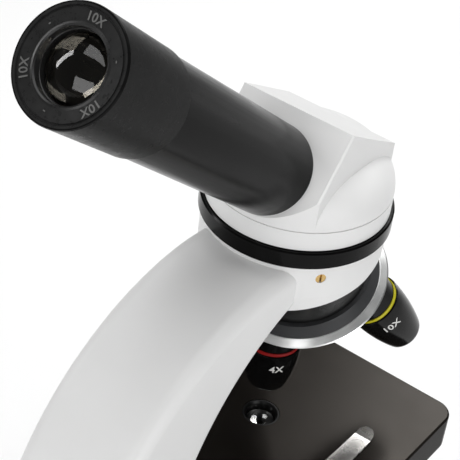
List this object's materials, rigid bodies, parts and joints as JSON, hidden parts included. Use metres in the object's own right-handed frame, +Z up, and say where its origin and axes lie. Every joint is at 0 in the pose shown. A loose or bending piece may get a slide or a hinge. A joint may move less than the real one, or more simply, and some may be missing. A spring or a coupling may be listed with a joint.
{
  "type": "student microscope",
  "caption": "Monocular student microscope with an inclined turning head, tilted nosepiece, focusing stage and curved arm on a lamp base.",
  "frame": {"origin": "where the optical axis meets the table that the rubber feet stand on", "axes": "+Z up along the optical axis, +Y from the arm towards the stage's far edge, +X to the right of the user, who sits on the -Y side"},
  "size_m": [0.1323, 0.174, 0.2957],
  "materials": {
    "white_paint": "satin white paint with a fine orange-peel texture",
    "white_plastic": "satin white moulded plastic",
    "black_gloss": "glossy black",
    "black_satin": "satin black lacquer",
    "black_plastic": "matt black moulded plastic",
    "grey_turret": "dark grey satin",
    "chrome": "polished",
    "steel": "ground and lightly polished",
    "brass": "machined",
    "rubber": "matt",
    "glass": "coated and polished",
    "red_paint": "gloss red ring",
    "yellow_paint": "gloss yellow ring",
    "blue_paint": "gloss blue ring",
    "stage_paint": "satin brown-black powder coat",
    "cell_wrap": "printed shrink film",
    "board": "solder mask",
    "led": "phosphor"
  },
  "bodies": {
    "stand": {"base_shell": "white_plastic", "base_cover": "black_plastic", "rubber_feet": "rubber", "cover_screws": "steel", "battery_box": "black_plastic", "cells": "cell_wrap", "contacts": "steel", "lamp_housing": "black_plastic", "lamp_lens": "glass", "led_board": "board", "led_chip": "led", "dimmer_pot": "black_plastic", "arm": "white_paint", "arm_screws": "steel", "clamp_ring": "black_gloss", "set_screw": "brass", "nose_mount": "black_satin", "nose_pivot": "steel", "guide_rails": "steel", "bushings": "brass"},
    "head": {"head_housing": "white_paint", "head_band": "white_paint", "head_spigot": "black_satin", "prism": "glass", "body_tube": "black_satin"},
    "eyepiece": {"eyepiece_barrel": "black_satin", "eyepiece_sleeve": "steel", "eye_lens": "glass", "field_lens": "glass", "field_stop": "black_satin"},
    "nosepiece": {"turret": "grey_turret", "turret_ring": "chrome", "obj4_barrel": "black_gloss", "obj4_band": "red_paint", "obj4_lens": "glass", "obj10_barrel": "black_gloss", "obj10_band": "yellow_paint", "obj10_lens": "glass", "obj40_barrel": "black_gloss", "obj40_band": "blue_paint", "obj40_lens": "glass"},
    "stage": {"stage_plate": "stage_paint", "stage_bracket": "black_satin", "rack": "brass", "condenser_bezel": "black_gloss", "condenser_lens": "glass", "stage_screws": "steel", "disc_pivot": "steel"},
    "diaphragm": {"aperture_disc": "black_satin"},
    "right_clip": {"clip_right": "chrome", "clip_right_knob": "chrome"},
    "left_clip": {"clip_left": "chrome", "clip_left_knob": "chrome"},
    "focus": {"focus_shaft": "steel", "pinion": "brass", "knob_right": "black_plastic", "knob_left": "black_plastic"},
    "dimmer": {"dimmer_wheel": "black_plastic"},
    "battery_door": {"battery_door": "black_plastic"}
  },
  "joints": [
    {"name": "head_turn", "type": "hinge", "parent": "stand", "child": "head", "pos_m": [0, 0, 0.2], "axis": [0, 0, 1], "continuous": true},
    {"name": "eyepiece_draw", "type": "slide", "parent": "head", "child": "eyepiece", "axis": [0, -0.7771, 0.6293], "range_m": [0, 0.03]},
    {"name": "nosepiece_turn", "type": "hinge", "parent": "stand", "child": "nosepiece", "pos_m": [0, 0, 0.1905], "axis": [0, -0.4067, 0.9135], "continuous": true},
    {"name": "stage_focus", "type": "slide", "parent": "stand", "child": "stage", "axis": [0, 0, 1], "range_m": [-0.013, 0.002]},
    {"name": "focus_knobs", "type": "hinge", "parent": "stand", "child": "focus", "pos_m": [0, -0.08, 0.072], "axis": [1, 0, 0], "range_deg": [-125, 20]},
    {"name": "diaphragm_turn", "type": "hinge", "parent": "stage", "child": "diaphragm", "pos_m": [0, 0.017, 0.1], "axis": [0, 0, 1], "continuous": true},
    {"name": "right_clip_swing", "type": "hinge", "parent": "stage", "child": "right_clip", "pos_m": [0.031, -0.033, 0.1157], "axis": [0, 0, 1], "range_deg": [-35, 12]},
    {"name": "left_clip_swing", "type": "hinge", "parent": "stage", "child": "left_clip", "pos_m": [-0.031, -0.033, 0.1157], "axis": [0, 0, 1], "range_deg": [-12, 35]},
    {"name": "dimmer_turn", "type": "hinge", "parent": "stand", "child": "dimmer", "pos_m": [0.062, 0.02, 0.02], "axis": [1, 0, 0], "range_deg": [0, 270]},
    {"name": "battery_door_slide", "type": "slide", "parent": "stand", "child": "battery_door", "axis": [0, -1, 0], "range_m": [0, 0.03]}
  ],
  "couplings": [
    {"joint": "focus_knobs", "follows": "stage_focus", "rad_per_m": 166.67}
  ]
}
